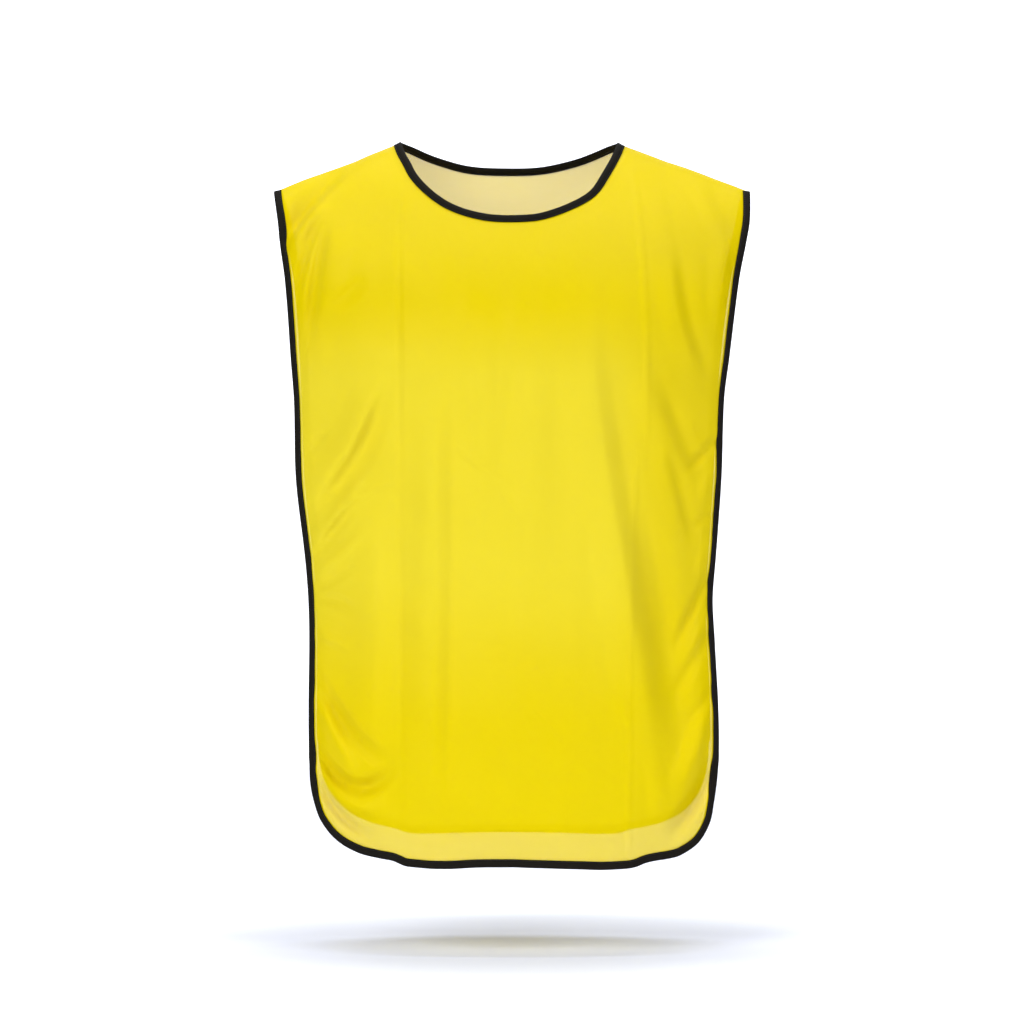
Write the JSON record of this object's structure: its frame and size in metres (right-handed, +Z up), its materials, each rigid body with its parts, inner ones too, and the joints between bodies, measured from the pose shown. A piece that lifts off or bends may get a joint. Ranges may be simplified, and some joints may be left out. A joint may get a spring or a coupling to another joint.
{
  "type": "mesh training bib",
  "caption": "Sleeveless yellow mesh training bib in its worn shape, open at the neck, hem and sides, with black bound edges and short side elastics.",
  "frame": {"origin": "midway between the two shoulder seams at their middle height, where the wearer's shoulders hold the bib", "axes": "+Z up, the front faces -Y, +X to the right of someone who looks at the front"},
  "size_m": [0.4666, 0.2331, 0.7026],
  "materials": {
    "mesh_cloth": "fine warp-knit mesh, slight satin sheen",
    "binding": "narrow knit tape, folded over the edge, matt",
    "elastic": "ribbed flat elastic, matt"
  },
  "bodies": {
    "root": {"front_panel": "mesh_cloth", "back_panel": "mesh_cloth", "neck_binding": "binding", "edge_binding": "binding", "side_elastic_left": "elastic", "side_elastic_right": "elastic"}
  },
  "joints": []
}
